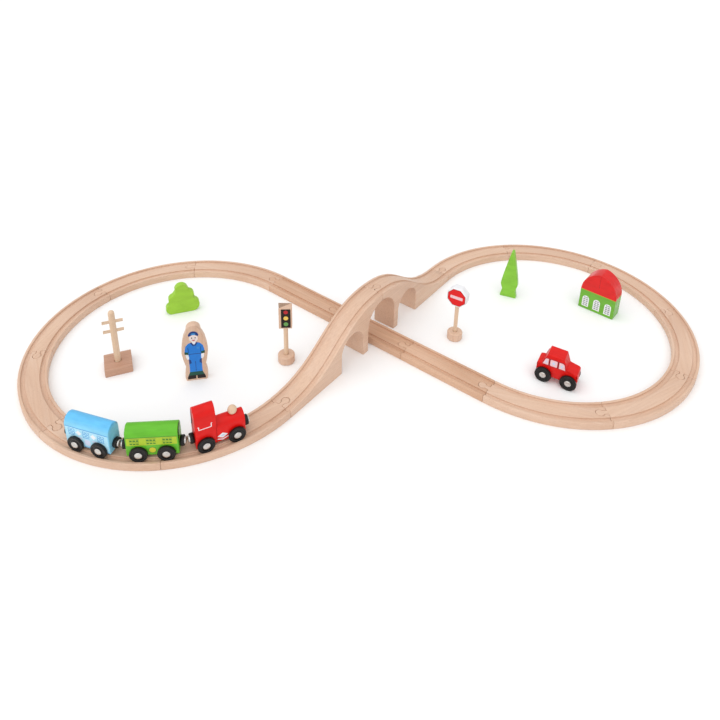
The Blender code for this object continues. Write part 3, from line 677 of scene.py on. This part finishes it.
def stop_sign():
    carved("stop_sign_base", upright(STOP_SIGN), BEECH, 0.5 * MM, 2, None, 40)
    carved("stop_sign_post", upright(STOP_SIGN), BEECH_PALE, 0.4 * MM, 2, None, 40)
    body = "stop_sign"

    def near_socket(spot):
        return math.hypot(spot.x, spot.y) < 3.8 * MM

    carved("stop_sign_plate", STOP_SIGN, WHITE, 0.7 * MM, 2, near_socket)

    def octagon(across):
        reach = across / 2 / math.cos(math.pi / 8)
        turns = [math.radians(22.5 + 45 * k) for k in range(8)]
        return [(reach * math.cos(turn), SIGN_CENTRE + reach * math.sin(turn)) for turn in turns]

    rim, bar = (octagon(29.6), octagon(28.4)), rounded(0, SIGN_CENTRE, 21.0, 5.4, 0.9)
    plates("stop_sign_rim", [rim], STOP_SIGN, body, DARK_RED_INK, SIGN_FACE, 0.07)
    plates("stop_sign_face", [octagon(29.0)], STOP_SIGN, body, RED_INK, SIGN_FACE, 0.05)
    plates("stop_sign_bar", [bar], STOP_SIGN, body, PINK_INK, SIGN_FACE, 0.1)


def bush_and_tree():
    carved("bush", BUSH, LIME, 0.8 * MM, 2, None, 40)
    carved("tree", TREE, LEAF, 0.8 * MM, 2, None, 40)


def man():
    """A printed worker of the builder's own plain design on a wooden block."""
    body = "man_block"
    carved("man", upright(MAN), BEECH, 0.9 * MM, 3, None, 40)

    def mirrored(points):
        return [(-x, z) for x, z in reversed(points)]

    def both_sides(points):
        return [points, mirrored(points)]

    coat = [(-3.4, 69.8), (-8.4, 68.0), (-12.4, 63.4), (-13.8, 57.0), (-14.4, 51.6), (-9.6, 50.4),
            (-9.4, 46.0), (-9.2, 32.0), (-9.0, 22.0), (-9.6, 12.0)]
    coat += mirrored(coat) + [(0, 65.8)]
    shade_line = both_sides([(-9.6, 61.0), (-8.8, 61.2), (-8.4, 52.2), (-9.2, 52.0)])
    pockets = both_sides([(-9.4, 39.4), (-6.4, 38.2), (-5.6, 32.6), (-9.0, 30.2)])
    hands = both_sides([(-13.4, 48.8), (-9.4, 48.6), (-8.6, 43.2), (-9.0, 39.4), (-11.2, 39.6),
                        (-13.0, 43.2)])
    cuffs = both_sides([(-14.8, 53.4), (-8.8, 52.2), (-9.4, 48.0), (-14.4, 48.8)])
    hems = [[(-9.2, 16.0), (9.2, 16.0), (12.2, 8.4), (-12.2, 8.4)]]
    shoes = both_sides([(-0.6, 9.4), (-11.6, 9.6), (-13.4, 5.4), (-12.8, 2.6), (-1.0, 3.0)])
    belt = [rounded(0, 48.8, 18.6, 1.0, 0.4)]
    seam = [rounded(0, 26.4, 0.7, 18.0, 0.3)]
    collar = [[(-3.0, 71.0), (3.0, 71.0), (2.2, 68.0), (0, 65.4), (-2.2, 68.0)]]
    lapels = both_sides([(-3.4, 69.9), (-5.6, 68.6), (-1.4, 62.6), (-0.2, 63.6), (-0.4, 65.6)])
    face_shape = [oval(0, 76.9, 6.3, 6.9, 28)]
    cap = [oval(0, 81.3, 7.5, 8.0, 18, 8, 172) + [(-6.6, 80.2), (0, 83.6), (6.6, 80.2)]]
    peak = [oval(0, 84.2, 3.4, 1.6, 18)]
    eyes = [oval(-2.5, 77.6, 0.9, 1.1, 14), oval(2.5, 77.6, 0.9, 1.1, 14)]
    mouth = [[(-2.3, 74.5), (0, 73.8), (2.3, 74.5), (1.3, 72.6), (0, 72.2), (-1.3, 72.6)]]
    badge = [oval(4.9, 59.2, 1.9, 1.9, 18)]
    layers = (
        ("coat", [coat], OVERALL_INK, 0.05),
        ("hands", hands, WHITE_INK, 0.07),
        ("cuffs", cuffs, CUFF_INK, 0.09),
        ("pockets", pockets + shade_line + belt + seam, NAVY_INK, 0.08),
        ("hems", hems, CUFF_INK, 0.08),
        ("shoes", shoes, BLACK_INK, 0.1),
        ("collar", collar, WHITE_INK, 0.08),
        ("lapels", lapels, NAVY_INK, 0.1),
        ("face", face_shape, SKIN_INK, 0.09),
        ("cap", cap, NAVY_INK, 0.13),
        ("cap_badge", peak, BLUE_INK, 0.16),
        ("eyes", eyes, BLACK_INK, 0.13),
        ("mouth", mouth, CRIMSON_INK, 0.13),
        ("badge", badge, BLUE_INK, 0.08),
    )
    for name, shapes, look, rise in layers:
        plates("man_" + name, shapes, MAN, body, look, MAN_FACE, rise)


def house():
    """Its roof is two arcs that meet in a crease, finer than the CAD's."""
    body = "house_block"
    half, eave, rise, steps = 31, 38, 38, 36
    offset = (rise ** 2 - half ** 2) / (2 * half)
    outline = [(-half, 0), (half, 0)]
    for k in range(steps + 1):
        x = half * math.cos(math.pi * k / steps)
        outline.append((x, eave + math.sqrt(max(0.0, (half + offset) ** 2 - (abs(x) + offset) ** 2))))
    mesh = bmesh.new()
    front, back = ([mesh.verts.new((x * MM, side * HOUSE_FACE * MM, z * MM)) for x, z in outline]
                   for side in BOTH)
    mesh.faces.new(front)
    mesh.faces.new(list(reversed(back)))
    for i in range(len(outline)):
        j = (i + 1) % len(outline)
        mesh.faces.new((front[j], front[i], back[i], back[j]))
    made = piece("house_block_piece", mesh, HOUSE_SPOT, body, HOUSE, ["house"])

    def on_ridge(spot):
        return spot.z > 75.5 * MM and abs(spot.y) < 10 * MM

    soften(made, 0.8 * MM, 3, 20, on_ridge)
    windows, panes = [], []
    for middle in (-19.4, 0.3, 19.8):
        windows.append(arch(middle, 5.0, 11.6, 21.4))
        for row in range(5):
            wide, away = (3.7, 2.3) if row < 4 else (2.8, 1.85)
            for side in (-1, 1):
                panes.append(rounded(middle + side * away, 8.0 + 3.75 * row, wide, 2.4, 0.3, 2))
    line, crease = rounded(0, 37.9, 61.4, 0.8, 0.3), rounded(0, 62.0, 0.4, 24.0, 0.15)
    plates("house_window_print", windows, HOUSE_SPOT, body, WHITE_INK, HOUSE_FACE, 0.05, 0.1, BOTH)
    plates("house_pane_print", panes, HOUSE_SPOT, body, PANE_INK, HOUSE_FACE, 0.08, 0.1, BOTH)
    plates("house_eave_print", [line], HOUSE_SPOT, body, ORANGE_INK, HOUSE_FACE, 0.05, 0.1, BOTH)
    plates("house_crease_print", [crease], HOUSE_SPOT, body, DARK_RED_INK, HOUSE_FACE, 0.05, 0.1, BOTH)


def floor():
    mesh = bmesh.new()
    bmesh.ops.create_grid(mesh, x_segments=2, y_segments=2, size=40)
    data = bpy.data.meshes.new("floor")
    mesh.to_mesh(data)
    mesh.free()
    g = Graph("floor_paper")
    tone = g.noise((0.004, 0.004, 0.004), 2.0)
    colour = g.mix(g.span(tone, 0.3, 0.7), (0.95, 0.95, 0.95, 1), (0.94, 0.94, 0.945, 1))
    data.materials.append(g.finish(colour, 0.85, tone, 0.01 * MM, Specular_IOR_Level=0.1))
    made = bpy.data.objects.new("floor", data)
    made.location.z = -0.05 * MM
    bpy.context.scene.collection.objects.link(made)


def light():
    world = bpy.data.worlds.new("studio")
    world.use_nodes = True
    background = world.node_tree.nodes["Background"]
    background.inputs["Color"].default_value = (1.0, 1.0, 1.0, 1)
    background.inputs["Strength"].default_value = 0.74
    bpy.context.scene.world = world
    data = bpy.data.lights.new("overhead", "SUN")
    data.energy = 1.45
    data.angle = math.radians(100)
    made = bpy.data.objects.new("overhead", data)
    made.rotation_euler = Vector((0.35, 0.45, -1.0)).to_track_quat("-Z", "Y").to_euler()
    bpy.context.scene.collection.objects.link(made)


def camera():
    """The viewing angle: from the front, a little left of the middle, from above."""
    yaw, pitch, roll = (math.radians(a) for a in (7.971, 22.62, 1.33))
    ahead = Vector((math.sin(yaw) * math.cos(pitch), math.cos(yaw) * math.cos(pitch), -math.sin(pitch)))
    level = Vector((math.cos(yaw), -math.sin(yaw), 0))
    above = level.cross(ahead)
    side = level * math.cos(roll) + above * math.sin(roll)
    up = above * math.cos(roll) - level * math.sin(roll)
    data = bpy.data.cameras.new("camera")
    data.sensor_width = 36
    data.lens = 33.09
    data.shift_y = -0.30
    data.clip_start = 0.01
    data.clip_end = 50
    made = bpy.data.objects.new("camera", data)
    turn = Matrix((side, up, -ahead)).transposed().to_4x4()
    made.matrix_world = Matrix.Translation((-0.1494, -0.8801, 0.7137)) @ turn
    bpy.context.scene.collection.objects.link(made)
    bpy.context.scene.camera = made


camera()
light()
floor()
track()
loco()
green_wagon()
blue_wagon()
car()
telegraph()
traffic_light()
stop_sign()
bush_and_tree()
man()
house()
bpy.context.scene.view_settings.view_transform = "Standard"

bpy.context.view_layer.update()
